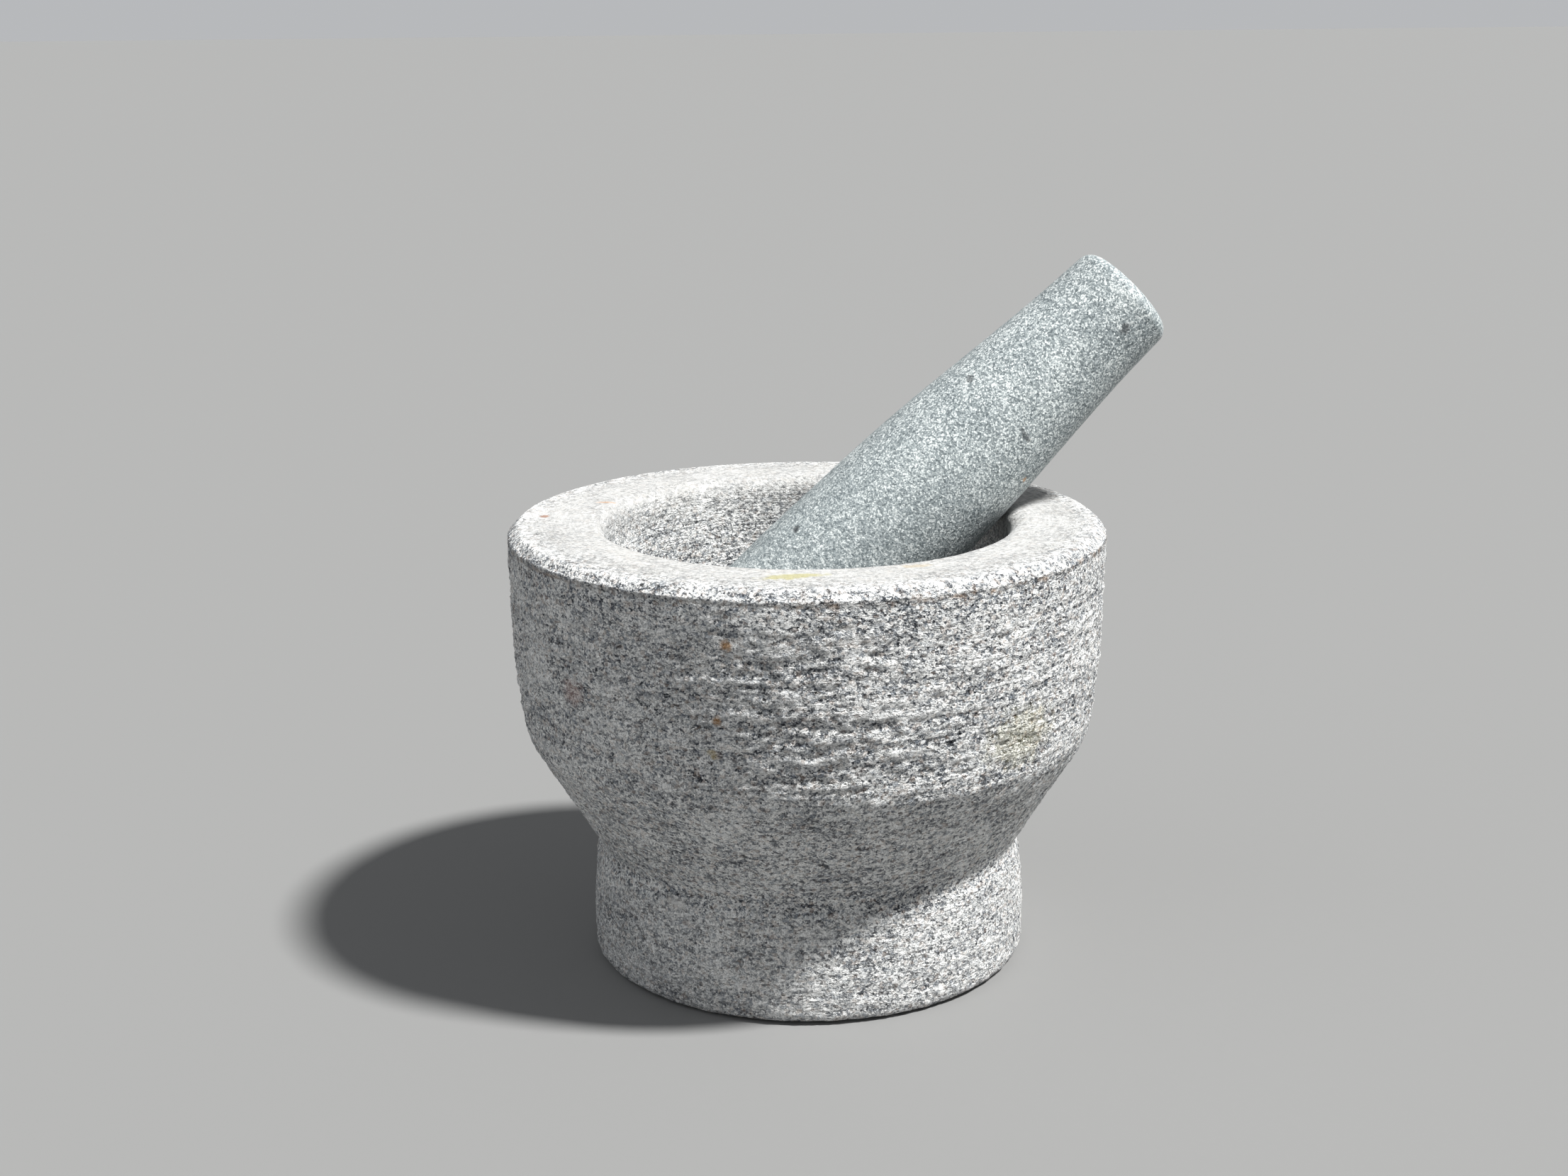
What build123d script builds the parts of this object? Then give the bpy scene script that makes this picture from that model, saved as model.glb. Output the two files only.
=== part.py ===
from build123d import *
import math
import os

# A turned granite molcajete: a footed mortar and the loose pestle that leans in it.
# Millimetres. Z is the mortar's axis, the origin is the centre of the face that it
# stands on, and +X is the way the pestle leans.

# Mortar, outside
rim_radius = 75.0
rim_height = 112.6
rim_edge = 2.9            # rounding of the rim's outer edge
wall_bulge_radius = 290.0 # the wall is very slightly barrel shaped
wall_widest_height = 100.0
shoulder_height = 60.6
shoulder_round = 22.0
waist_radius = 54.6
waist_height = 30.2
waist_round = 6.0
waist_band_height = 25.0
foot_radius = 55.8
foot_swell = 0.35         # how far the foot's side bows out between its ends
foot_edge = 3.1

# Mortar, inside
bowl_radius = 50.4
bowl_floor_height = 30.0
bowl_bottom_radius = 44.0
bowl_wall_angle = 26.0    # degrees of the bowl's side that flatten towards upright
lip_round = 4.0           # worn rounding between the flat rim and the bowl

# Pestle, along its own axis from the grinding end
pestle_length = 165.0
head_radius = 20.2
shank_end = 42.0          # the head's full thickness ends here
neck = (85.0, 19.6)       # height and radius where the taper begins to show
grip = (124.0, 17.4)      # height and radius of the middle of the grip
grip_top = (145.0, 15.3)  # height and radius of the slim end of the grip
cap_radius = 14.4
cap_taper = 0.02          # how fast the grip still narrows where it meets the cap
cap_round = 3.6

# How the pestle leans
lean_angle = 47.8         # degrees from upright
length_below_rim = 84.8   # from the grinding end to where its axis crosses the rim's plane
lean_gap = 0.3            # left between the pestle and the mortar's lip
lip_touch = 18.85         # pestle radius where the lip meets it

OUT = "parts"


def bowl_wall_radius():
    """Radius of the arc that joins the round bottom to the upright top of the bowl."""
    turn = math.radians(bowl_wall_angle)
    spread = bowl_radius - bowl_bottom_radius * math.cos(turn)
    return spread / (1 - math.cos(turn))


def wall_radius_at(height):
    """Outer radius of the barrel-shaped wall at a height."""
    drop = wall_widest_height - height
    sink = wall_bulge_radius - math.sqrt(wall_bulge_radius ** 2 - drop ** 2)
    return rim_radius - sink


def corner(face, radius, height):
    """The flat profile's corner nearest to a radius and height."""
    return face.vertices().sort_by_distance((radius, height))[0]


def mortar_profile():
    """Half section of the mortar, from its axis to the rim, before its edges are rounded."""
    shoulder_r = wall_radius_at(shoulder_height)
    swell_height = waist_band_height / 2
    mid_wall_height = (shoulder_height + wall_widest_height) / 2
    with BuildSketch(Plane.XZ) as section:
        with BuildLine():
            base = Line((0, 0), (foot_radius, 0))
            foot = ThreePointArc(
                base @ 1,
                (foot_radius + foot_swell, swell_height),
                (waist_radius, waist_band_height),
            )
            band = Line(foot @ 1, (waist_radius, waist_height))
            belly = Line(band @ 1, (shoulder_r, shoulder_height))
            wall = ThreePointArc(
                belly @ 1,
                (wall_radius_at(mid_wall_height), mid_wall_height),
                (rim_radius, wall_widest_height),
            )
            top_wall = Line(wall @ 1, (rim_radius, rim_height))
            rim = Line(top_wall @ 1, (bowl_radius, rim_height))
            bottom = JernArc(
                (0, bowl_floor_height),
                (1, 0),
                bowl_bottom_radius,
                90 - bowl_wall_angle,
            )
            side = JernArc(bottom @ 1, bottom % 1, bowl_wall_radius(), bowl_wall_angle)
            Line(side @ 1, rim @ 1)
            Line((0, bowl_floor_height), (0, 0))
        make_face()
        for radius, height, rounding in (
            (foot_radius, 0, foot_edge),
            (waist_radius, waist_height, waist_round),
            (shoulder_r, shoulder_height, shoulder_round),
            (rim_radius, rim_height, rim_edge),
            (bowl_radius, rim_height, lip_round),
        ):
            fillet(corner(section, radius, height), rounding)
    return section.sketch


def make_mortar():
    """The footed bowl, one turned block of granite."""
    return revolve(mortar_profile(), axis=Axis.Z)


def make_pestle():
    """The pestle upright on its grinding end: domed head, gentle taper, rounded flat cap."""
    with BuildSketch(Plane.XZ) as section:
        with BuildLine():
            dome = JernArc((0, 0), (1, 0), head_radius, 90)
            shank = Line(dome @ 1, (head_radius, shank_end))
            taper = Spline(
                shank @ 1,
                (neck[1], neck[0]),
                (grip[1], grip[0]),
                (grip_top[1], grip_top[0]),
                (cap_radius, pestle_length),
                tangents=[(0, 1), (-cap_taper, 1)],
            )
            cap = Line(taper @ 1, (0, pestle_length))
            Line(cap @ 1, dome @ 0)
        make_face()
        fillet(corner(section, cap_radius, pestle_length), cap_round)
    return revolve(section.sketch, axis=Axis.Z)


def lean_reach():
    """How far from the mortar's axis the pestle's axis crosses the rim's plane."""
    lean = math.radians(lean_angle)
    lip_centre = bowl_radius + lip_round
    apart = lip_touch + lip_round + lean_gap
    return lip_centre - (apart - lip_round * math.sin(lean)) / math.cos(lean)


def leaning(pestle):
    """The pestle as it rests: its head low in the bowl, its side on the lip."""
    lean = math.radians(lean_angle)
    foot_x = lean_reach() - length_below_rim * math.sin(lean)
    foot_z = rim_height - length_below_rim * math.cos(lean)
    return Pos(foot_x, 0, foot_z) * Rot(0, lean_angle, 0) * pestle


os.makedirs(OUT, exist_ok=True)
mortar = make_mortar()
pestle = leaning(make_pestle())
export_step(mortar, f"{OUT}/mortar.step")
export_step(pestle, f"{OUT}/pestle.step")
print("reach at the rim", round(lean_reach(), 2))
print("gap between mortar and pestle", round(mortar.distance_to(pestle), 3))
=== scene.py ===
# %% [markdown]
# # A granite molcajete
# A molcajete is a stone bowl with a stone pestle. This one is turned on a lathe from two
# blocks of granite: a footed mortar, light grey and left rough from the tool, and a
# finer, bluer pestle that is ground smooth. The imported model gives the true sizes. This
# lesson builds the looks around it: a lathe made of Geometry Nodes, two procedural
# granites, a plain studio and a camera.

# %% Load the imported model
import math

import bpy
from mathutils import Matrix, Vector


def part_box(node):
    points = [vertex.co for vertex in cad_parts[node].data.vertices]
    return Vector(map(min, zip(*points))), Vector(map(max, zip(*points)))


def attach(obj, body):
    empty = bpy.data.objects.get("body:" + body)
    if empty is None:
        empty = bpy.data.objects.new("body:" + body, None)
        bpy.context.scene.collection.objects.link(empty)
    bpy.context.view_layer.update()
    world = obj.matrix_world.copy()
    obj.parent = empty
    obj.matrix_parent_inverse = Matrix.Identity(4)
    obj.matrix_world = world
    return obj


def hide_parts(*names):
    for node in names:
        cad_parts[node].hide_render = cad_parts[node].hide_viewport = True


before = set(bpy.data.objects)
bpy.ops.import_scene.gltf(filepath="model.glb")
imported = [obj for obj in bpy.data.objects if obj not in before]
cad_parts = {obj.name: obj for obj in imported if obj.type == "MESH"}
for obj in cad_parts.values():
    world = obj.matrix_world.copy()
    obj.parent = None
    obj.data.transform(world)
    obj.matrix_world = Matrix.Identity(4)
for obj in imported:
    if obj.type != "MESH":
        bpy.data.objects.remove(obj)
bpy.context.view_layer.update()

MM = 0.001
_, mortar_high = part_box("mortar")
pestle_low, pestle_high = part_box("pestle")

# %% [markdown]
# ## Small helpers for node trees
# Geometry Nodes and shader nodes are both graphs, and both share the maths, noise and
# ramp nodes. A few helpers that make a node, feed its sockets and hand back an output
# keep every recipe below short enough to read as a sentence. The alternative, wiring
# by hand in the editor, gives the same graph but can't be read in a script.

# %% Helpers that make and wire nodes
def feed(tree, socket, value):
    """Joins a socket to another one, or sets its value."""
    if isinstance(value, bpy.types.NodeSocket):
        tree.links.new(value, socket)
    elif value is not None:
        socket.default_value = value


def node(tree, kind, inputs=(), **settings):
    """Makes a node. inputs is a list in socket order, or a dict by socket name or number."""
    made = tree.nodes.new(kind)
    for name, value in settings.items():
        setattr(made, name, value)
    pairs = inputs.items() if isinstance(inputs, dict) else enumerate(inputs)
    for key, value in pairs:
        feed(tree, made.inputs[key], value)
    return made


def maths(tree, operation, *values):
    return node(tree, "ShaderNodeMath", values, operation=operation).outputs[0]


def total(tree, *values):
    """The sum of any number of values."""
    result = values[0]
    for value in values[1:]:
        result = maths(tree, "ADD", result, value)
    return result


def product(tree, *values):
    """The product of any number of values."""
    result = values[0]
    for value in values[1:]:
        result = maths(tree, "MULTIPLY", result, value)
    return result


def inverse(tree, value):
    """One minus a value."""
    return maths(tree, "SUBTRACT", 1.0, value)


def vectors(tree, operation, *values):
    made = node(tree, "ShaderNodeVectorMath", values, operation=operation)
    return made.outputs["Value" if operation in ("DISTANCE", "LENGTH") else "Vector"]


def scaled(tree, vector, factor):
    """A vector times one number."""
    made = node(tree, "ShaderNodeVectorMath", [vector], operation="SCALE")
    feed(tree, made.inputs["Scale"], factor)
    return made.outputs[0]


def combined(tree, *values):
    return node(tree, "ShaderNodeCombineXYZ", values).outputs[0]


def separated(tree, vector):
    return node(tree, "ShaderNodeSeparateXYZ", [vector]).outputs


MIDDLE = (0.5, 0.5, 0.5)  # the average of a noise's colour, or of a grain's random colour


def noise(tree, place, size, detail=2.0, rough=0.5):
    """Smooth noise with blobs about size across, from 0 to 1 and mostly near 0.5."""
    scale = maths(tree, "DIVIDE", 1.0, size) if isinstance(size, bpy.types.NodeSocket) else 1 / size
    made = node(
        tree,
        "ShaderNodeTexNoise",
        {"Vector": place, "Scale": scale, "Detail": detail, "Roughness": rough},
    )
    return made.outputs[0]


def spread(tree, value, low, high, to_low=0.0, to_high=1.0):
    """Stretches the part of a value between low and high, and clamps the rest."""
    return node(tree, "ShaderNodeMapRange", [value, low, high, to_low, to_high], clamp=True).outputs[0]


# %% [markdown]
# ## The outline that the lathe follows
# A turned piece is fully described by half of its section. Here the section is a chain
# of straight runs with rounded corners, as a turner's template would be: each corner
# has a radius, a height, a rounding and the row spacing wanted on the way to it. Small
# spacing goes where the stone is rough, because relief needs points to stand on. A
# Bezier curve could hold the same outline, but corners and roundings are easier to
# measure.

# %% A rounded outline from its corners
def run(points, end, step):
    """Adds evenly spaced points from the last point to end."""
    start = points[-1]
    count = max(1, math.ceil((end - start).length / step))
    points.extend(start.lerp(end, k / count) for k in range(1, count + 1))


def bend(points, before, corner, after, rounding, step):
    """Adds an arc that rounds a corner, and the run that leads to it."""
    back = (before - corner).normalized()
    onward = (after - corner).normalized()
    turn = math.pi - back.angle(onward)
    start = corner + back * rounding * math.tan(turn / 2)
    if (start - points[-1]).length > step / 2:
        run(points, start, step)
    centre = corner + (back + onward).normalized() * rounding / math.cos(turn / 2)
    side = math.copysign(turn, onward.cross(back))
    count = max(2, math.ceil(rounding * turn / step))
    for k in range(1, count + 1):
        points.append(centre + Matrix.Rotation(side * k / count, 2) @ (start - centre))


def rounded_outline(corners):
    """Points and zones of an outline. A corner is (radius, height, rounding, step, zone) in mm."""
    places = [Vector(corner[:2]) for corner in corners]
    points = [places[0]]
    zones = [corners[0][4]]
    for i in range(1, len(corners)):
        rounding, step, zone = corners[i][2:]
        if rounding == 0:
            run(points, places[i], step)
        else:
            bend(points, *places[i - 1:i + 2], rounding, step)
        zones.extend([zone] * (len(points) - len(zones)))
    return points, zones


# %% The mortar's section, from under the foot to the middle of the bowl
RIM_RADIUS = mortar_high.x / MM
RIM_HEIGHT = mortar_high.z / MM
BOWL_RADIUS = 50.4
BOWL_FLOOR = 30.0
FOOT_RADIUS = 55.8
MORTAR_CORNERS = [
    (0.0, 0.0, 0, 14.0, "base"),
    (FOOT_RADIUS - 3.8, 0.0, 0, 14.0, "base"),
    (FOOT_RADIUS, 0.0, 3.1, 1.1, "foot"),
    (FOOT_RADIUS + 0.4, 12.0, 60.0, 1.15, "foot"),
    (55.2, 26.5, 4.0, 1.15, "foot"),
    (53.9, 30.4, 2.2, 0.9, "waist"),
    (72.3, 60.6, 20.0, 0.95, "belly"),
    (RIM_RADIUS, 80.4, 200.0, 0.74, "wall"),
    (RIM_RADIUS, RIM_HEIGHT - 11.0, 0, 0.74, "wall"),
    (RIM_RADIUS - 0.1, RIM_HEIGHT - 2.4, 0.8, 0.74, "band"),
    (RIM_RADIUS - 2.9, RIM_HEIGHT, 1.6, 0.7, "chamfer"),
    (BOWL_RADIUS, RIM_HEIGHT, 4.0, 2.2, "rim"),
    (BOWL_RADIUS, 76.9, 107.7, 2.8, "bowl"),
    (27.5, BOWL_FLOOR, 44.0, 5.0, "bowl"),
    (0.0, BOWL_FLOOR, 0, 7.0, "bowl"),
]
mortar_rows, mortar_zones = rounded_outline(MORTAR_CORNERS)
print("mortar rows:", {zone: mortar_zones.count(zone) for zone in dict.fromkeys(mortar_zones)})

# %% [markdown]
# The pestle's section is drawn upright on its grinding end: a dome, a full shank, a
# slow taper to the grip, and a rounded flat cap.

# %% The pestle's section, from the grinding end to the cap
HEAD_RADIUS = pestle_high.y / MM
CAP_RADIUS = 14.4
PESTLE_LENGTH = 165.0
PESTLE_CORNERS = [
    (0.0, 0.0, 0, 1.5, "pestle"),
    (HEAD_RADIUS, 0.0, HEAD_RADIUS - 0.1, 1.2, "pestle"),
    (HEAD_RADIUS, 60.0, 400.0, 0.8, "pestle"),
    (HEAD_RADIUS - 0.8, 98.0, 500.0, 0.7, "pestle"),
    (15.2, 146.0, 400.0, 0.7, "pestle"),
    (CAP_RADIUS, PESTLE_LENGTH, 3.6, 0.6, "pestle"),
    (0.0, PESTLE_LENGTH, 0, 1.2, "pestle_cap"),
]
pestle_rows, pestle_zones = rounded_outline(PESTLE_CORNERS)
print("pestle rows:", len(pestle_rows))

# %% [markdown]
# ## What the tool left behind
# Every zone of the stone was worked differently. The wall was only roughed out, so it
# keeps the chisel's chips and the lathe's ridges. The rim was ground flat. The bowl
# was pecked and then worn, which scuffs the grains pale. Each zone gets three
# numbers from 0 to 1, and they are averaged over neighbouring rows, because no tool
# stops exactly at a line. The face that the foot stands on stays flat.

# %% Finish of each zone
FINISH = {  # zone: (chips, ridges, worn)
    "base": (0.0, 0.0, 0.0),
    "foot": (0.45, 0.80, 0.0),
    "waist": (0.28, 0.30, 0.0),
    "belly": (0.55, 0.65, 0.0),
    "wall": (1.0, 1.0, 0.0),
    "band": (0.45, 0.30, 0.0),
    "chamfer": (0.25, 0.0, 0.28),
    "rim": (0.04, 0.0, 1.0),
    "bowl": (0.50, 0.0, 0.28),
    "pestle": (0.10, 0.0, 0.0),
    "pestle_cap": (0.10, 0.0, 0.5),
}
TRACES = ("chips", "ridges", "worn")


def softened(values, reach):
    """A list in which each value is the average of its neighbours, reach on each side."""
    out = []
    for i in range(len(values)):
        near = values[max(0, i - reach):i + reach + 1]
        out.append(sum(near) / len(near))
    return out


def outline_object(name, rows, zones, reach):
    """An object whose mesh is the outline as a chain of edges, with the finish on its points."""
    mesh = bpy.data.meshes.new(name)
    points = [(p.x * MM, 0, p.y * MM) for p in rows]
    mesh.from_pydata(points, [(i, i + 1) for i in range(len(points) - 1)], [])
    for k, trace in enumerate(TRACES):
        values = softened([FINISH[zone][k] for zone in zones], reach)
        values = [0.0 if zone == "base" else value for value, zone in zip(values, zones)]
        mesh.attributes.new(trace, "FLOAT", "POINT").data.foreach_set("value", values)
    made = bpy.data.objects.new(name, mesh)
    bpy.context.scene.collection.objects.link(made)
    return made


MORTAR_BLEND_ROWS = 4
PESTLE_BLEND_ROWS = 3
mortar_outline = outline_object("mortar_outline", mortar_rows, mortar_zones, MORTAR_BLEND_ROWS)
pestle_outline = outline_object("pestle_outline", pestle_rows, pestle_zones, PESTLE_BLEND_ROWS)
print("outline points:", len(mortar_outline.data.vertices), len(pestle_outline.data.vertices))

# %% [markdown]
# ## A lathe made of Geometry Nodes
# Both stones follow the same rule: turn the outline round its axis, then cut the
# surface back by noise. One node tree does it for both. A grid is laid out with one
# column for each step of the turn and one row for each outline point, every grid point
# looks up its row in the outline, and merging by distance closes the seam and the two
# poles. A Screw or Spin would also turn the outline, but here the finish numbers come
# along as attributes, and the carving can read them at once.

# %% The tree's inputs
LATHE_INPUTS = {
    "Steps around": "Int",
    "Chip size": "Float",
    "Chip depth": "Float",
    "Ridge height": "Float",
    "Ridge depth": "Float",
    "Wave depth": "Float",
    "Seed": "Float",
    "Lean": "Vector",
    "Foot": "Vector",
    "Stone": "Material",
}
lathe = bpy.data.node_groups.new("stone_lathe", "GeometryNodeTree")
lathe.is_modifier = True
lathe.interface.new_socket("Outline", in_out="INPUT", socket_type="NodeSocketGeometry")
for label, kind in LATHE_INPUTS.items():
    lathe.interface.new_socket(label, in_out="INPUT", socket_type="NodeSocket" + kind)
lathe.interface.new_socket("Turned stone", in_out="OUTPUT", socket_type="NodeSocketGeometry")
given = lathe.nodes.new("NodeGroupInput").outputs
print("lathe inputs:", ", ".join(LATHE_INPUTS))

# %% Turn the outline
position = lathe.nodes.new("GeometryNodeInputPosition").outputs[0]
index = lathe.nodes.new("GeometryNodeInputIndex").outputs[0]
rows = node(lathe, "GeometryNodeAttributeDomainSize", [given["Outline"]]).outputs["Point Count"]
row = maths(lathe, "MODULO", index, rows)
column = maths(lathe, "FLOOR", maths(lathe, "DIVIDE", index, rows))
columns = maths(lathe, "ADD", given["Steps around"], 1.0)
grid = node(lathe, "GeometryNodeMeshGrid", {"Vertices X": columns, "Vertices Y": rows}).outputs[0]


def trace_of(name):
    """One of the finish numbers, read from whatever geometry the node works on."""
    return node(lathe, "GeometryNodeInputNamedAttribute", {"Name": name}, data_type="FLOAT").outputs[0]


def from_outline(value, kind):
    """A value of the outline point that a grid point's row stands for."""
    made = node(
        lathe,
        "GeometryNodeSampleIndex",
        {"Geometry": given["Outline"], "Index": row},
        data_type=kind,
        domain="POINT",
    )
    feed(lathe, made.inputs["Value"], value)
    return made.outputs[0]


def stored(stone, name, value):
    """Keeps a number on every point of the stone under a name."""
    made = node(
        lathe,
        "GeometryNodeStoreNamedAttribute",
        {"Geometry": stone, "Name": name},
        data_type="FLOAT",
        domain="POINT",
    )
    feed(lathe, made.inputs["Value"], value)
    return made.outputs[0]


SEAM = 0.002 * MM
place = separated(lathe, from_outline(position, "FLOAT_VECTOR"))
angle = product(lathe, maths(lathe, "DIVIDE", column, given["Steps around"]), math.tau)
turned = combined(
    lathe,
    product(lathe, place["X"], maths(lathe, "COSINE", angle)),
    product(lathe, place["X"], maths(lathe, "SINE", angle)),
    place["Z"],
)
stone = node(lathe, "GeometryNodeSetPosition", {"Geometry": grid, "Position": turned}).outputs[0]
for trace in TRACES:
    stone = stored(stone, trace, from_outline(trace_of(trace), "FLOAT"))
stone = node(lathe, "GeometryNodeMergeByDistance", {"Geometry": stone, "Distance": SEAM}).outputs[0]

# %% [markdown]
# ### Carving
# Relief is only ever cut into the stone, never added, so the finished piece can't grow
# out of the model's box. Long waves come from a hand-fed tool. Short ridges and long
# grooves are noise that is drawn out sideways by squashing its width, a little for the
# ridges and a lot for the grooves. Chips are Voronoi cells that each have a depth of
# their own, with a noise that breaks their borders, since stone comes away in small
# flakes. The depth of the cut is kept as an attribute, so that the shader can lay pale
# dust with a painted highlight on the crests, and painted shade in the pits.

# %% Cut the relief
RIDGE_STRETCH = (0.30, 0.30, 1.0)
GROOVE_STRETCH = (0.06, 0.06, 1.0)
CHIP_STRETCH = (0.80, 0.80, 1.0)
WAVE_SIZE = 32 * MM
RIDGE_NOISE = (0.38, 0.62)   # a noise below and above these is all furrow and all crest
GRIT_NOISE = (0.34, 0.62)
RIDGE_SHARE = 0.5            # the rest of the crest is groove
FLAKE_SHARE = 0.45           # the rest of a chip's depth is grit
WAVES_FROM = 0.05            # any stone with more chips than this has its full waves
seeded = vectors(lathe, "ADD", position, combined(lathe, *[given["Seed"]] * 3))
along = vectors(lathe, "MULTIPLY", seeded, RIDGE_STRETCH)
oblong = vectors(lathe, "MULTIPLY", seeded, CHIP_STRETCH)
ridge = spread(lathe, noise(lathe, along, given["Ridge height"], detail=3.0, rough=0.6), *RIDGE_NOISE)
round_it = vectors(lathe, "MULTIPLY", seeded, GROOVE_STRETCH)
groove = spread(lathe, noise(lathe, round_it, given["Ridge height"], detail=2.0, rough=0.6), *RIDGE_NOISE)
crest = total(lathe, product(lathe, ridge, RIDGE_SHARE), product(lathe, groove, 1 - RIDGE_SHARE))

half_chip = product(lathe, given["Chip size"], 0.5)
push = node(lathe, "ShaderNodeTexNoise", {"Vector": oblong, "Detail": 2.0})
feed(lathe, push.inputs["Scale"], maths(lathe, "DIVIDE", 1.0, half_chip))
push = vectors(lathe, "SUBTRACT", push.outputs["Color"], MIDDLE)
broken = vectors(lathe, "ADD", oblong, scaled(lathe, push, given["Chip size"]))
flakes = node(lathe, "ShaderNodeTexVoronoi", {"Vector": broken})
feed(lathe, flakes.inputs["Scale"], maths(lathe, "DIVIDE", 1.0, given["Chip size"]))
flake_depth = separated(lathe, flakes.outputs["Color"])[0]
grit = spread(lathe, noise(lathe, oblong, given["Chip size"], detail=3.0, rough=0.65), *GRIT_NOISE)
flake = product(lathe, flake_depth, FLAKE_SHARE)
chip = total(lathe, flake, product(lathe, inverse(lathe, grit), 1 - FLAKE_SHARE))

ridge_cut = product(lathe, inverse(lathe, crest), given["Ridge depth"], trace_of("ridges"))
chip_cut = product(lathe, chip, given["Chip depth"], trace_of("chips"))
rough_cut = total(lathe, ridge_cut, chip_cut)
worked = spread(lathe, trace_of("chips"), 0.0, WAVES_FROM)
wave_cut = product(lathe, noise(lathe, seeded, WAVE_SIZE, detail=1.0), given["Wave depth"], worked)
deepest = total(lathe, given["Ridge depth"], given["Chip depth"])
stone = stored(stone, "pit", maths(lathe, "DIVIDE", rough_cut, deepest))
outward = lathe.nodes.new("GeometryNodeInputNormal").outputs[0]
inward = scaled(lathe, outward, product(lathe, total(lathe, rough_cut, wave_cut), -1.0))
stone = node(lathe, "GeometryNodeSetPosition", {"Geometry": stone, "Offset": inward}).outputs[0]

# %% Lean it, give it its stone and close the tree
lean = node(lathe, "FunctionNodeEulerToRotation", [given["Lean"]]).outputs[0]
stone = node(
    lathe,
    "GeometryNodeTransform",
    {"Geometry": stone, "Translation": given["Foot"], "Rotation": lean},
).outputs[0]
stone = node(lathe, "GeometryNodeSetShadeSmooth", {"Geometry": stone}).outputs[0]
stone = node(lathe, "GeometryNodeRealizeInstances", {"Geometry": stone}).outputs[0]
stone = node(lathe, "GeometryNodeSetMaterial", {"Geometry": stone, "Material": given["Stone"]}).outputs[0]
feed(lathe, lathe.nodes.new("NodeGroupOutput").inputs[0], stone)


def turn_on_lathe(outline, name, settings):
    """Runs the lathe on an outline and keeps the result as a plain mesh in a new object."""
    modifier = outline.modifiers.new("lathe", "NODES")
    modifier.node_group = lathe
    for item in lathe.interface.items_tree:
        if item.in_out == "INPUT" and item.name in settings:
            modifier[item.identifier] = settings[item.name]
    evaluated = outline.evaluated_get(bpy.context.evaluated_depsgraph_get())
    mesh = bpy.data.meshes.new_from_object(evaluated)
    mesh.name = name
    made = bpy.data.objects.new(name, mesh)
    bpy.context.scene.collection.objects.link(made)
    outline.modifiers.remove(modifier)
    bpy.data.objects.remove(outline)
    triangles = sum(len(face.vertices) - 2 for face in mesh.polygons)
    print(name, "triangles:", triangles)
    return made


# %% [markdown]
# ## Granite
# Granite is a packing of mineral grains: white feldspar, glassy grey quartz and black
# mica. Voronoi cells pack space in the same way, and each cell's random number picks
# its mineral. The cells' borders are bent by a fine noise, since real grains are never
# straight sided. The pattern is solid, so it runs through an edge as real stone does,
# and it needs no unwrapping.

# %% Helpers for the stone's colour
def ramp(tree, value, stops):
    """A colour ramp with (place, colour) stops."""
    made = node(tree, "ShaderNodeValToRGB", [value])
    elements = made.color_ramp.elements
    while len(elements) < len(stops):
        elements.new(0.5)
    for element, (place, colour) in zip(elements, stops):
        element.position = place
        element.color = (*colour, 1.0)
    return made.outputs[0]


def mixed(tree, amount, first, second):
    """The first colour with an amount of the second in it."""
    made = node(tree, "ShaderNodeMix", {"Factor": amount}, data_type="RGBA")
    for socket, colour in ((made.inputs[6], first), (made.inputs[7], second)):
        feed(tree, socket, colour if isinstance(colour, bpy.types.NodeSocket) else (*colour, 1.0))
    return made.outputs[2]


def bent(tree, place, size, amount):
    """Coordinates pushed about by a fine noise, so that grains get ragged borders."""
    push = node(tree, "ShaderNodeTexNoise", {"Vector": place, "Scale": 1 / size, "Detail": 1.0})
    push = vectors(tree, "SUBTRACT", push.outputs["Color"], MIDDLE)
    return vectors(tree, "ADD", place, scaled(tree, push, amount))


def grains(tree, place, size):
    """A random colour for each grain of about that size."""
    return node(tree, "ShaderNodeTexVoronoi", {"Vector": place, "Scale": 1 / size}).outputs["Color"]


def channels(tree, colour):
    return node(tree, "ShaderNodeSeparateColor", [colour]).outputs


def centred(tree, value, weight):
    """A noise made to swing around zero by a weight."""
    return product(tree, maths(tree, "SUBTRACT", value, 0.5), weight)


def swing(tree, place, size, detail, weight):
    """Noise of a size and detail that swings around zero by a weight."""
    return centred(tree, noise(tree, place, size, detail), weight)


def trace_on(tree, name):
    """A finish number that the lathe left on the mesh."""
    return node(tree, "ShaderNodeAttribute", attribute_name=name).outputs["Fac"]


def stone_material(name):
    """A material with one shader. Gives the material, its tree and its shader."""
    material = bpy.data.materials.new(name)
    material.use_nodes = True
    tree = material.node_tree
    tree.nodes.clear()
    shader = tree.nodes.new("ShaderNodeBsdfPrincipled")
    out = tree.nodes.new("ShaderNodeOutputMaterial")
    tree.links.new(shader.outputs[0], out.inputs["Surface"])
    return material, tree, shader


# %% [markdown]
# ### Broken grains catch the light
# On a broken surface each grain ends in a little flat face of its own, and that is what
# makes rough granite sparkle. The shader gets the same effect when every grain tips
# the surface normal by its own random amount. A bump alone would only round the grains.

# %% Tipped grains and a fine bump
def broken_normal(tree, facets, tip, height):
    """The surface normal, tipped by each grain and then roughened by a fine height."""
    normal = tree.nodes.new("ShaderNodeNewGeometry").outputs["Normal"]
    away = scaled(tree, vectors(tree, "SUBTRACT", facets, MIDDLE), tip)
    tipped = vectors(tree, "NORMALIZE", vectors(tree, "ADD", normal, away))
    sockets = {"Strength": 1.0, "Distance": 1.0, "Height": height, "Normal": tipped}
    return node(tree, "ShaderNodeBump", sockets).outputs[0]


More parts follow.
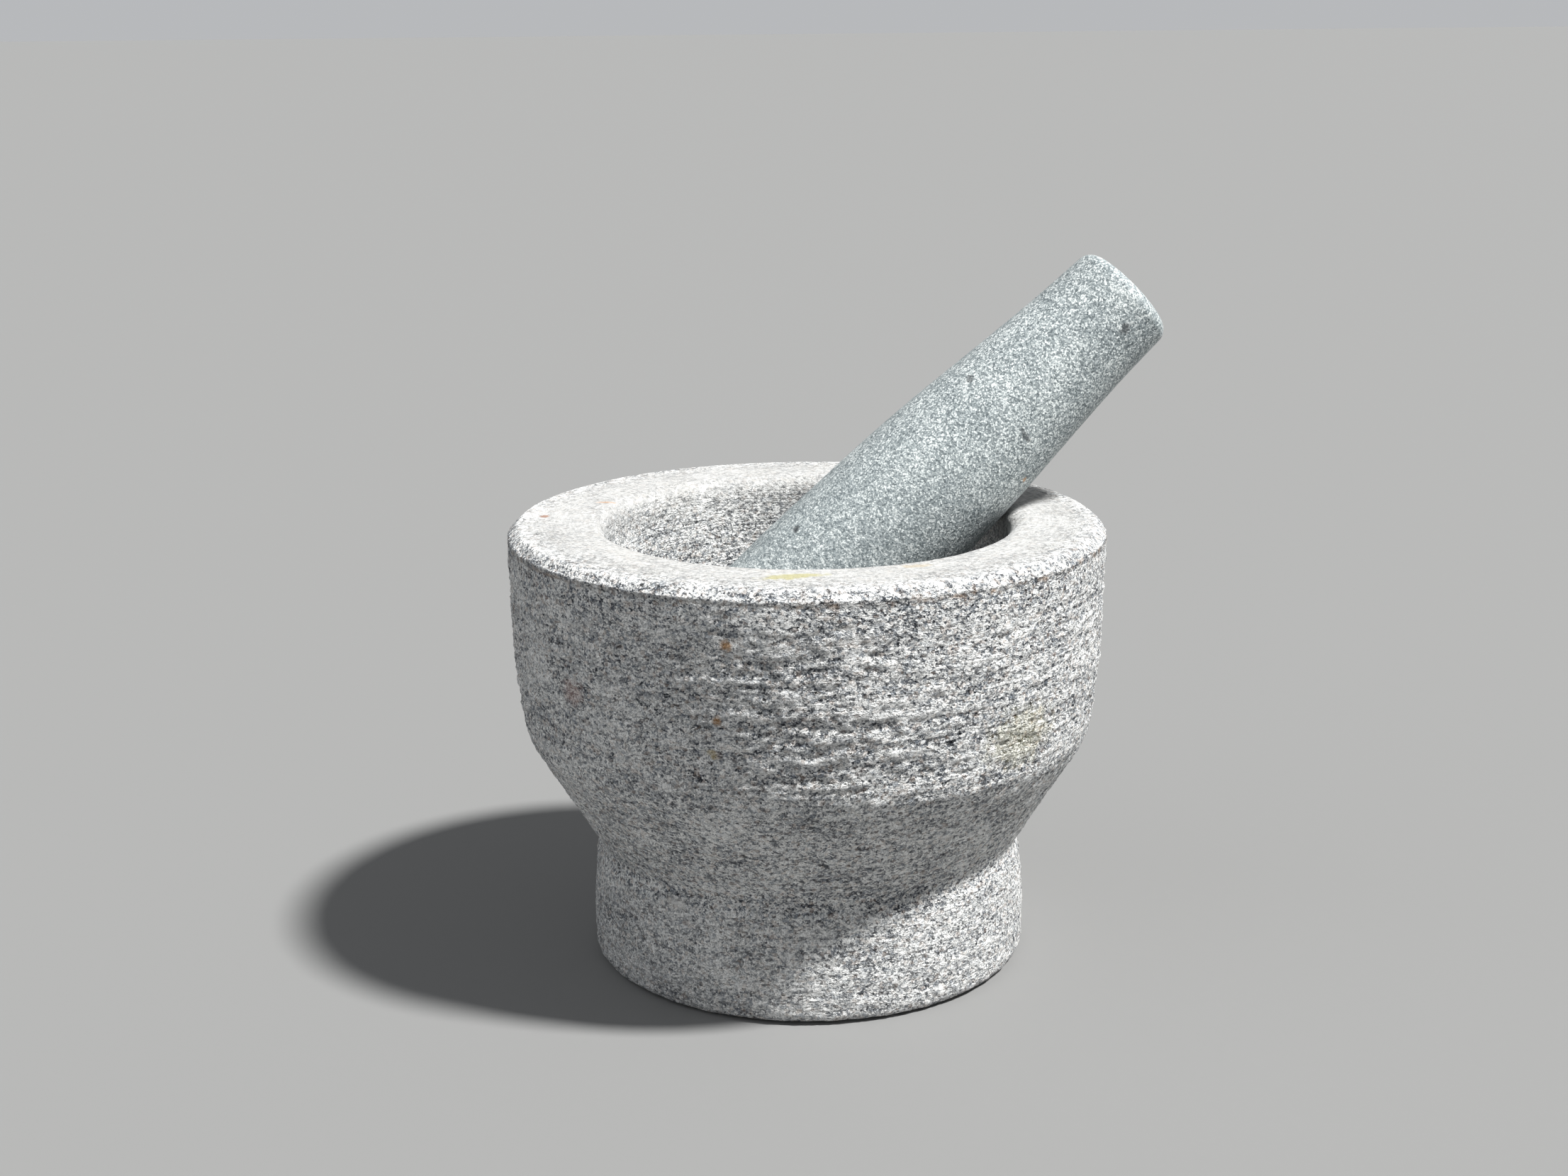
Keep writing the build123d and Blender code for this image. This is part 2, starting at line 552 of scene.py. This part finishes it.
# %% [markdown]
# ### Stains
# Stains sit at places that a user can see and remember: a greenish smear on the rim,
# some rust on the wall. Each is an ellipsoid in space with a ragged edge, which needs
# no painted mask and no unwrapping.

# %% Stains
STAIN_RAGGED = 1.6         # how far the noise breaks a stain's border
STAIN_EDGE = (1.25, 0.65)  # where a stain begins and where it is full, in its half sizes


def around(azimuth, radius, height):
    """A place from its angle round an axis in degrees, and its radius and height in mm."""
    turn = math.radians(azimuth)
    return Vector((radius * math.cos(turn), radius * math.sin(turn), height)) * MM


def stained(tree, colour, place, ragged, stains):
    """Adds stains. A stain is (centre, half sizes in mm, strength, colour)."""
    for centre, halves, strength, tint in stains:
        near = vectors(tree, "SUBTRACT", place, centre)
        near = vectors(tree, "DIVIDE", near, Vector(halves) * MM)
        reach = total(tree, vectors(tree, "LENGTH", near), centred(tree, ragged, STAIN_RAGGED))
        colour = mixed(tree, spread(tree, reach, *STAIN_EDGE, 0.0, strength), colour, tint)
    return colour


RUST = (0.42, 0.21, 0.06)
MORTAR_STAINS = [  # centre, half sizes in mm, strength, colour
    (around(-105.5, 61.0, RIM_HEIGHT), (7.0, 2.3, 3.0), 0.75, (0.40, 0.37, 0.16)),
    (around(-76.8, 57.5, RIM_HEIGHT), (3.5, 1.5, 2.0), 0.45, (0.45, 0.36, 0.22)),
    (around(165.0, 66.0, RIM_HEIGHT), (1.3, 1.5, 2.0), 0.8, (0.30, 0.14, 0.08)),
    (around(147.5, 55.5, RIM_HEIGHT), (2.4, 0.9, 2.0), 0.7, (0.50, 0.29, 0.16)),
    (around(-116.4, 75.0, 98.9), (1.5, 1.2, 2.6), 0.85, RUST),
    (around(-118.4, 74.4, 81.8), (1.4, 1.2, 1.6), 0.7, RUST),
    (around(-119.5, 73.8, 73.5), (1.5, 1.2, 1.3), 0.6, (0.48, 0.36, 0.12)),
    (around(-150.3, 74.4, 82.1), (4.0, 4.0, 3.0), 0.35, (0.62, 0.40, 0.34)),
    (around(-59.4, 73.5, 72.0), (11.0, 9.0, 7.0), 0.18, (0.80, 0.72, 0.33)),
    (around(-138.0, 54.6, 27.1), (3.5, 3.5, 1.8), 0.45, (0.85, 0.83, 0.80)),
]

# %% [markdown]
# ### The mortar's granite
# Two sizes of grain are added up with fine specks, soft clusters, wide clouds and faint
# level lines from the lathe, which are painted shade in its grooves and painted light on
# their crests, and a ramp turns the sum into minerals. The grains are a little wider than
# high. The wall's crests carry pale dust and a painted highlight, and its pits get
# painted shade.

# %% The mortar's minerals
GRAIN = 0.85 * MM
CRUMB = GRAIN * 0.52
GRAIN_BEND = (0.6 * MM, 0.34 * MM)   # size and reach of the noise that bends their borders
BEDDING = (0.84, 0.84, 1.0)
TURNING = (0.06, 0.06, 1.0)
LATTICE_SHIFT = Vector((13.7, 7.3, 3.1)) * MM  # keeps the noise's lattice off the axis
LARGE_SHARE = 0.36
SMALL_SHARE = 0.44
SPECKS = (0.36 * MM, 2.0, 0.80)      # size, detail and weight of each noise
CLUSTERS = (1.8 * MM, 1.0, 0.20)
CLOUDS = (13 * MM, 2.0, 0.34)
# the lathe's lines: in the colour they are painted shade in the grooves and painted light on the crests;
# their size also sets the bump's lines
TURNED_LINES_AND_SHADE = (1.0 * MM, 2.0, 0.42)
LIGHTEN = 0.07
WORN_LIGHTEN = 0.10
GRANITE = [
    (0.08, (0.016, 0.019, 0.025)),
    (0.21, (0.095, 0.105, 0.125)),
    (0.32, (0.260, 0.275, 0.295)),
    (0.44, (0.480, 0.485, 0.485)),
    (0.55, (0.740, 0.740, 0.730)),
    (0.68, (1.000, 1.000, 0.985)),
]
GRAIN_TINTS = [  # from and to on the grain's random number, strength, colour
    (0.80, 0.95, 0.30, (0.66, 0.52, 0.43)),
    (0.30, 0.05, 0.30, (0.34, 0.39, 0.45)),
]


def mortar_minerals(tree, place, worn):
    """The granite's colour, and the random colours of its large and its small grains."""
    bedded = bent(tree, vectors(tree, "MULTIPLY", place, BEDDING), *GRAIN_BEND)
    lathed = vectors(tree, "MULTIPLY_ADD", place, TURNING, LATTICE_SHIFT)
    grain = grains(tree, bedded, GRAIN)
    crumb = grains(tree, bedded, CRUMB)
    large = channels(tree, grain)
    mineral = total(
        tree,
        product(tree, large[0], LARGE_SHARE),
        product(tree, channels(tree, crumb)[0], SMALL_SHARE),
        swing(tree, place, *SPECKS),
        swing(tree, bedded, *CLUSTERS),
        swing(tree, place, *CLOUDS),
        # the lathe's lines, painted darker in their grooves and lighter on their crests
        swing(tree, lathed, *TURNED_LINES_AND_SHADE),
        LIGHTEN,
        product(tree, worn, WORN_LIGHTEN),
    )
    colour = ramp(tree, mineral, GRANITE)
    for low, high, strength, tint in GRAIN_TINTS:
        colour = mixed(tree, spread(tree, large[1], low, high, 0.0, strength), colour, tint)
    return colour, grain, crumb, lathed


# %% Pale dust and painted highlight on the crests, painted shade in the pits
# pale dust with a painted highlight, laid on the crests of the wall
CREST_DUST_AND_HIGHLIGHT = (0.97, 0.97, 0.955)
DUST_AND_HIGHLIGHT_DEPTH = (0.50, 0.15, 0.0, 0.45)   # from and to on the depth of the cut, then shares
DUST_AND_HIGHLIGHT_RIDGES = (0.5, 1.0)              # only the most furrowed stone gets the dust and painted highlight
# painted shade, laid in the pits of the cut
PIT_SHADE = (0.06, 0.06, 0.065)
PIT_SHADE_DEPTH = (0.58, 0.95, 0.0, 0.30)


def carved_colour(tree, colour):
    """The colour with pale dust and a painted highlight on the crests, and painted shade in the pits, laid by
    the depth of the cut.
    """
    pit = trace_on(tree, "pit")
    furrowed = spread(tree, trace_on(tree, "ridges"), *DUST_AND_HIGHLIGHT_RIDGES)
    dust_and_highlight = product(tree, spread(tree, pit, *DUST_AND_HIGHLIGHT_DEPTH), furrowed)
    colour = mixed(tree, dust_and_highlight, colour, CREST_DUST_AND_HIGHLIGHT)
    return mixed(tree, spread(tree, pit, *PIT_SHADE_DEPTH), colour, PIT_SHADE)


# %% [markdown]
# ### The ground rim
# Grinding leaves the rim flat, pale and finely streaked all the way round. The streaks
# read the direction from the axis instead of an angle, so they have no seam. The bowl
# is worn a little in the same way, and some of the grain shows through.

# %% The ground rim
RIM_STREAK = (0.5 * MM, 9 * MM)        # width and length
STREAK_NOISE = (0.36, 0.62)
STREAK_DARK = (0.215, 0.211, 0.203)
STREAK_PALE = (0.36, 0.356, 0.346)
TAN = (0.25, 0.240, 0.215)
TAN_SIZE = 9 * MM
TAN_NOISE = (0.50, 0.70, 0.0, 0.45)
GRAIN_SHOWING = 0.27
RAGGED_SHARE = 0.5
GROUND_FROM, GROUND_TO = 0.42, 0.80    # the wear at which the ground look begins and is full
SCUFFED = (0.1, 0.35, 0.0, 0.12)
SCUFF = (0.85, 0.85, 0.84)


def round_streaks(tree, place, width, length):
    """Noise drawn out round the axis, with its radius, for streaks that follow the rim."""
    xyz = separated(tree, place)
    flat = combined(tree, xyz["X"], xyz["Y"], 0.0)
    radius = vectors(tree, "LENGTH", flat)
    squeezed = RIM_RADIUS * MM * width / length
    facing = separated(tree, scaled(tree, vectors(tree, "NORMALIZE", flat), squeezed))
    return noise(tree, combined(tree, facing["X"], facing["Y"], radius), width, detail=3.0, rough=0.6), radius


def ground_colour(tree, colour, place, worn, ragged):
    """The colour with the ground look laid by the wear, and the distance from the axis."""
    streak, radius = round_streaks(tree, place, *RIM_STREAK)
    ground = total(tree, worn, centred(tree, ragged, RAGGED_SHARE))
    pale = mixed(tree, spread(tree, streak, *STREAK_NOISE), STREAK_DARK, STREAK_PALE)
    tanned = spread(tree, noise(tree, place, TAN_SIZE, detail=3.0, rough=0.6), *TAN_NOISE)
    pale = mixed(tree, tanned, pale, TAN)
    pale = mixed(tree, GRAIN_SHOWING, pale, colour)
    colour = mixed(tree, spread(tree, ground, GROUND_FROM, GROUND_TO), colour, pale)
    return mixed(tree, spread(tree, worn, *SCUFFED), colour, SCUFF), radius


# %% [markdown]
# ### The line under the chamfer
# A line of painted shade, with a little rust in it, lies where the rough wall meets the
# chamfer. The line is a band of heights on the outside only, moved up and down by noise.

# %% The line under the chamfer
LINE_HEIGHT = (RIM_HEIGHT - 3.4) * MM
LINE_RAGGED = 2.4 * MM
LINE_FADE = (0.9 * MM, 0.1 * MM)
OUTSIDE = ((RIM_RADIUS - 4) * MM, (RIM_RADIUS - 2) * MM)
LINE_SHARE = 0.40
# painted shade along the line under the chamfer
LINE_SHADE = (0.07, 0.065, 0.06)
LINE_RUST_SIZE = 4 * MM
LINE_RUST_NOISE = (0.52, 0.66)
LINE_RUST_SHARE = 0.45
LINE_RUST = (0.42, 0.26, 0.15)


def lined_colour(tree, colour, place, radius, ragged):
    """The colour with the line of painted shade and its rust on it."""
    height = separated(tree, place)["Z"]
    gap = maths(tree, "ABSOLUTE", maths(tree, "SUBTRACT", height, LINE_HEIGHT))
    gap = total(tree, gap, centred(tree, ragged, LINE_RAGGED))
    line = product(tree, spread(tree, gap, *LINE_FADE), spread(tree, radius, *OUTSIDE))
    rusty = spread(tree, noise(tree, place, LINE_RUST_SIZE, detail=2.0), *LINE_RUST_NOISE)
    colour = mixed(tree, product(tree, line, LINE_SHARE), colour, LINE_SHADE)
    return mixed(tree, product(tree, line, rusty, LINE_RUST_SHARE), colour, LINE_RUST)


# %% The mortar's finish
RAGGED_SIZE = 2.2 * MM
GLINT = (0.80, 1.0, 0.88, 0.42)        # the few grains that are smoother than the rest
GRIT_STRETCH = (0.7, 0.7, 1.0)
GRIT_SIZE = 0.9 * MM
GRIT_HEIGHT = 1.7 * MM
LINE_HEIGHTS = 0.7 * MM
CRUMB_HEIGHT = 0.08 * MM
FACET_TIP = 1.35
WORN_SMOOTH = (0.3, 1.0)
SMOOTHING = 0.85                       # how much of the roughness full wear takes away


def mortar_granite():
    material, tree, shader = stone_material("mortar_granite")
    place = tree.nodes.new("ShaderNodeTexCoord").outputs["Object"]
    worn = trace_on(tree, "worn")
    ragged = noise(tree, place, RAGGED_SIZE, detail=2.0)
    colour, grain, crumb, lathed = mortar_minerals(tree, place, worn)
    colour = carved_colour(tree, colour)
    colour, radius = ground_colour(tree, colour, place, worn, ragged)
    colour = lined_colour(tree, colour, place, radius, ragged)
    feed(tree, shader.inputs["Base Color"], stained(tree, colour, place, ragged, MORTAR_STAINS))
    feed(tree, shader.inputs["Roughness"], spread(tree, channels(tree, grain)[2], *GLINT))

    rough = inverse(tree, product(tree, spread(tree, worn, *WORN_SMOOTH), SMOOTHING))
    grit = noise(tree, vectors(tree, "MULTIPLY", place, GRIT_STRETCH), GRIT_SIZE, detail=3.0, rough=0.7)
    relief = total(
        tree,
        product(tree, grit, GRIT_HEIGHT),
        product(tree, noise(tree, lathed, TURNED_LINES_AND_SHADE[0], detail=2.0, rough=0.6), LINE_HEIGHTS),
        product(tree, channels(tree, crumb)[1], CRUMB_HEIGHT),
    )
    facets = scaled(tree, vectors(tree, "ADD", grain, crumb), 0.5)
    tip = product(tree, rough, FACET_TIP)
    normal = broken_normal(tree, facets, tip, product(tree, relief, rough))
    feed(tree, shader.inputs["Normal"], normal)
    return material


# %% [markdown]
# ### The pestle's granite
# The pestle is a finer, bluer stone. It was ground all over, so its grains lie flush,
# as small white flecks in blue-grey, drawn out round the shank near the grinding end.
# Its pattern is solid too, but a Mapping node turns it to lie along the pestle's own
# axis, so that the flecks run round the pestle and not round the mortar.

# %% Where the pestle stands and how it leans
LEAN = math.radians(47.8)
pestle_axis = Vector((math.sin(LEAN), 0, math.cos(LEAN)))
head_centre = Vector((pestle_low.x, 0, pestle_low.z)) + Vector((HEAD_RADIUS, 0, HEAD_RADIUS)) * MM
pestle_foot = head_centre - pestle_axis * HEAD_RADIUS * MM
print("grinding end in mm:", [round(v / MM, 2) for v in pestle_foot])


# %% The pestle's granite
PIT = (0.03, 0.035, 0.04)
PESTLE_MARKS = [  # as the mortar's stains, but in the pestle's own frame
    (around(-157, 20.0, 62.7), (1.1, 1.1, 1.0), 0.85, PIT),
    (around(-84, 14.9, 155.2), (1.2, 1.0, 1.6), 0.75, PIT),
    (around(-152, 17.6, 119.4), (1.5, 1.2, 1.2), 0.65, PIT),
    (around(-82, 17.7, 119.2), (2.4, 1.2, 0.8), 0.65, PIT),
    (around(-48, 18.1, 112.1), (0.8, 0.8, 0.7), 0.7, (0.55, 0.28, 0.10)),
]
BLUESTONE = [
    (0.10, (0.118, 0.144, 0.155)),
    (0.26, (0.205, 0.240, 0.251)),
    (0.42, (0.300, 0.340, 0.350)),
    (0.58, (0.425, 0.468, 0.474)),
    (0.70, (0.760, 0.800, 0.790)),
]


PESTLE_GRAIN = 0.42 * MM
PESTLE_GRAIN_BEND = (0.4 * MM, 0.25 * MM)
PESTLE_CRUMB = 0.26 * MM
DRAWN_STRETCH = (0.45, 0.45, 1.0)
DRAWN_GRAIN = 0.5 * MM
DRAWN_GRAIN_BEND = (0.5 * MM, 0.3 * MM)
DRAWN_FROM, DRAWN_FULL, DRAWN_SHARE = 115 * MM, 60 * MM, 0.55
FLECK_SHARE = 0.52
PESTLE_CRUMB_SHARE = 0.40
PESTLE_CLUSTERS = (1.6 * MM, 2.0, 0.18)
PATCH_SIZE = 9 * MM
PATCH_WEIGHT = 0.34
CAP_SHARE = 0.5
CAP_PALE = (0.62, 0.64, 0.62)
MARK_RAGGED_SIZE = 1.2 * MM
PESTLE_GLINT = (0.7, 1.0, 0.75, 0.38)
PESTLE_TIP = 0.22
FINE_SIZE = 0.35 * MM
FINE_HEIGHT = 0.10 * MM


def pestle_minerals(tree, place):
    """The blue-grey colour, and the random colours of its grains."""
    drawn = vectors(tree, "MULTIPLY", place, DRAWN_STRETCH)
    along = separated(tree, place)["Z"]
    near_head = spread(tree, along, DRAWN_FROM, DRAWN_FULL, 0.0, DRAWN_SHARE)
    grain = grains(tree, bent(tree, place, *PESTLE_GRAIN_BEND), PESTLE_GRAIN)
    large = channels(tree, grain)
    small = channels(tree, grains(tree, place, PESTLE_CRUMB))
    long_grain = channels(tree, grains(tree, bent(tree, drawn, *DRAWN_GRAIN_BEND), DRAWN_GRAIN))
    round_flecks = product(tree, large[0], inverse(tree, near_head))
    flecks = total(tree, round_flecks, product(tree, long_grain[0], near_head))
    mineral = total(
        tree,
        product(tree, flecks, FLECK_SHARE),
        product(tree, small[0], PESTLE_CRUMB_SHARE),
        swing(tree, place, *PESTLE_CLUSTERS),
        centred(tree, noise(tree, place, PATCH_SIZE, detail=3.0, rough=0.6), PATCH_WEIGHT),
    )
    return ramp(tree, mineral, BLUESTONE), grain


def pestle_granite(foot):
    material, tree, shader = stone_material("pestle_granite")
    own = node(tree, "ShaderNodeMapping", vector_type="TEXTURE")
    feed(tree, own.inputs["Vector"], tree.nodes.new("ShaderNodeTexCoord").outputs["Object"])
    own.inputs["Location"].default_value = foot
    own.inputs["Rotation"].default_value = (0, LEAN, 0)
    place = own.outputs[0]
    colour, grain = pestle_minerals(tree, place)
    colour = mixed(tree, product(tree, trace_on(tree, "worn"), CAP_SHARE), colour, CAP_PALE)
    ragged = noise(tree, place, MARK_RAGGED_SIZE, detail=1.0)
    feed(tree, shader.inputs["Base Color"], stained(tree, colour, place, ragged, PESTLE_MARKS))
    feed(tree, shader.inputs["Roughness"], spread(tree, channels(tree, grain)[2], *PESTLE_GLINT))
    fine = product(tree, noise(tree, place, FINE_SIZE, detail=2.0), FINE_HEIGHT)
    feed(tree, shader.inputs["Normal"], broken_normal(tree, grain, PESTLE_TIP, fine))
    return material


# %% Turn the mortar
mortar = turn_on_lathe(
    mortar_outline,
    "granite_mortar",
    {
        "Steps around": 508,
        "Chip size": 1.45 * MM,
        "Chip depth": 0.75 * MM,
        "Ridge height": 1.6 * MM,
        "Ridge depth": 0.72 * MM,
        "Wave depth": 0.25 * MM,
        "Seed": 3.1,
        "Stone": mortar_granite(),
    },
)
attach(mortar, "mortar")
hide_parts("mortar")

# %% Turn the pestle and lean it
pestle = turn_on_lathe(
    pestle_outline,
    "granite_pestle",
    {
        "Steps around": 256,
        "Chip size": 1.8 * MM,
        "Chip depth": 0.5 * MM,
        "Ridge height": 3.0 * MM,
        "Ridge depth": 0.2 * MM,
        "Wave depth": 0.25 * MM,
        "Seed": 7.7,
        "Lean": (0, LEAN, 0),
        "Foot": pestle_foot,
        "Stone": pestle_granite(pestle_foot),
    },
)
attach(pestle, "pestle")
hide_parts("pestle")

# %% [markdown]
# ## The studio
# A pale floor, a key light high on the right and slightly in front, a weak fill from
# the left, and a surround that is brighter at the horizon than above. The key must
# graze the wall for the rough stone to throw small shadows, which is what makes stone
# look like stone. Sun lamps light the floor evenly out to the horizon, where an area
# lamp would leave a bright pool, and their angle softens the shadows as a soft box does.

# %% Floor
FLOOR_HALF = 40.0
FLOOR_COLOUR = (0.235, 0.235, 0.233, 1)
FLOOR_ROUGHNESS = 0.85
floor_mesh = bpy.data.meshes.new("floor")
floor_corners = [(x * FLOOR_HALF, y * FLOOR_HALF, 0) for x, y in ((-1, -1), (1, -1), (1, 1), (-1, 1))]
floor_mesh.from_pydata(floor_corners, [], [(0, 1, 2, 3)])
floor = bpy.data.objects.new("floor", floor_mesh)
bpy.context.scene.collection.objects.link(floor)
floor_paint, _, floor_shader = stone_material("floor_paint")
floor_shader.inputs["Base Color"].default_value = FLOOR_COLOUR
floor_shader.inputs["Roughness"].default_value = FLOOR_ROUGHNESS
floor_mesh.materials.append(floor_paint)


# %% Lights and surround
def soft_light(name, azimuth, elevation, softness, strength, colour):
    """A wide, even light from a direction. The angles are in degrees."""
    light = bpy.data.lights.new(name, "SUN")
    light.angle = math.radians(softness)
    light.energy = strength
    light.color = colour
    lamp = bpy.data.objects.new(name, light)
    turn, rise = math.radians(azimuth), math.radians(elevation)
    source = Vector((math.cos(turn) * math.cos(rise), math.sin(turn) * math.cos(rise), math.sin(rise)))
    lamp.location = source
    lamp.rotation_euler = source.to_track_quat("Z", "Y").to_euler()
    bpy.context.scene.collection.objects.link(lamp)


soft_light("key_light", -34, 58, softness=6, strength=6.1, colour=(1.0, 0.998, 0.985))
soft_light("fill_light", 190, 38, softness=60, strength=0.40, colour=(0.92, 0.96, 1.0))
GLOW = (0.04, 0.14)            # the glow fades between these heights in the surround
HORIZON_LIGHT, OVERHEAD_LIGHT = 0.50, 0.26
SKY_COLOUR = (0.95, 0.97, 1.0, 1)
world = bpy.data.worlds.new("surround")
world.use_nodes = True
sky = world.node_tree
sky_height = separated(sky, sky.nodes.new("ShaderNodeTexCoord").outputs["Generated"])["Z"]
surround = sky.nodes["Background"]
glow = spread(sky, sky_height, *GLOW, HORIZON_LIGHT, OVERHEAD_LIGHT)
feed(sky, surround.inputs["Strength"], glow)
surround.inputs["Color"].default_value = SKY_COLOUR
bpy.context.scene.world = world
bpy.context.scene.view_settings.view_transform = "Standard"

# %% [markdown]
# ## The camera
# The camera stands about 12 cm above the rim and half a metre away, so the rim is
# seen as a flat ellipse and the foot shows its roundness. Its pose is written as
# distance, height, pan, pitch and roll, as it would be set up on a tripod.

# %% Camera
SENSOR_WIDTH = 36.0
LENS_LENGTH = 50.34
CAMERA_DISTANCE = 537 * MM
CAMERA_HEIGHT = 233 * MM
VIEW_TURN = math.radians(12.5)
CAMERA_PAN = math.radians(-0.61)
CAMERA_PITCH = math.radians(-14.50)
CAMERA_ROLL = math.radians(-0.49)
heading = VIEW_TURN + CAMERA_PAN

lens = bpy.data.cameras.new("camera")
lens.sensor_width = SENSOR_WIDTH
lens.lens = LENS_LENGTH
lens.clip_start = 0.01
lens.clip_end = 200.0
camera = bpy.data.objects.new("camera", lens)
level_look = Matrix.Rotation(math.radians(90), 4, "X")
camera.matrix_world = (
    Matrix.Translation((
        -CAMERA_DISTANCE * math.sin(VIEW_TURN),
        -CAMERA_DISTANCE * math.cos(VIEW_TURN),
        CAMERA_HEIGHT,
    ))
    @ Matrix.Rotation(-heading, 4, "Z")
    @ Matrix.Rotation(CAMERA_PITCH, 4, "X")
    @ level_look
    @ Matrix.Rotation(CAMERA_ROLL, 4, "Z")
)
bpy.context.scene.collection.objects.link(camera)
bpy.context.scene.camera = camera
